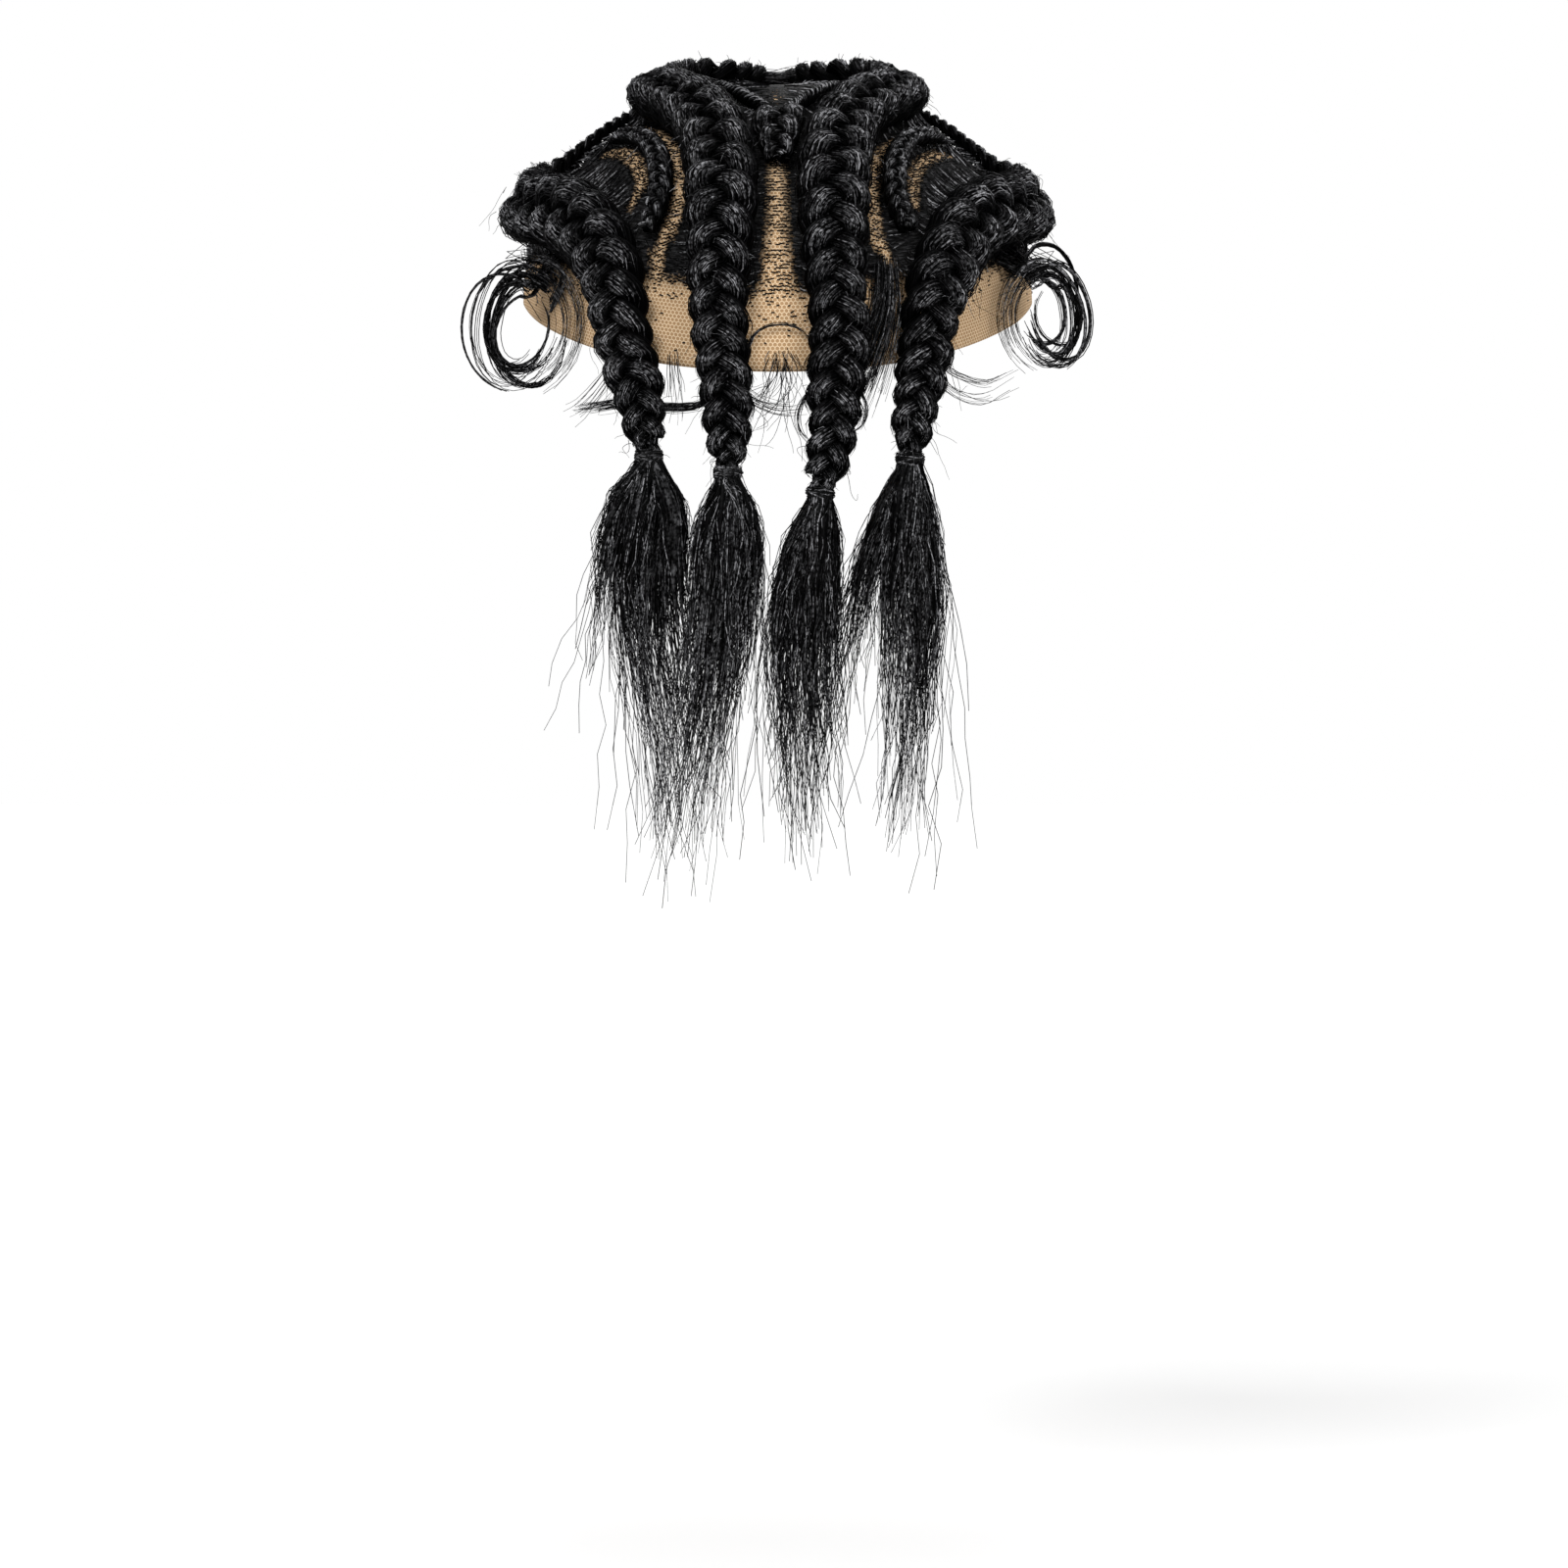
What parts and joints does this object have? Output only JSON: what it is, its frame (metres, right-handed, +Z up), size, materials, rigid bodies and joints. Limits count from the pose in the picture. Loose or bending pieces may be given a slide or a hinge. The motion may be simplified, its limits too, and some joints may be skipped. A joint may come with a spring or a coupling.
{
  "type": "cornrow toupee",
  "caption": "Hairpiece on a thin lace cap: thick feed-in cornrows swing over the crown in hooks and hang behind as tied plaits with loose tails; thin cornrows and edge curls lie between.",
  "frame": {"origin": "inside of the lace cap at its crown, where it rests on top of the head", "axes": "+Z up, +Y towards the forehead, +X to the wearer's right"},
  "size_m": [0.1907, 0.2008, 0.2616],
  "materials": {
    "hair": "kinky straight black hair with a soft grey sheen",
    "lace": "matt tan net",
    "tie_band": "satin black"
  },
  "bodies": {
    "root": {"lace_cap": "lace", "cornrow_inner_left": "hair", "tie_inner_left": "tie_band", "tail_inner_left": "hair", "cornrow_inner_right": "hair", "tie_inner_right": "tie_band", "tail_inner_right": "hair", "cornrow_outer_left": "hair", "tie_outer_left": "tie_band", "tail_outer_left": "hair", "cornrow_outer_right": "hair", "tie_outer_right": "tie_band", "tail_outer_right": "hair", "crescent_left": "hair", "vee_left": "hair", "edge_curl_left": "hair", "crescent_right": "hair", "vee_right": "hair", "edge_curl_right": "hair", "centre_plait": "hair"}
  },
  "joints": []
}
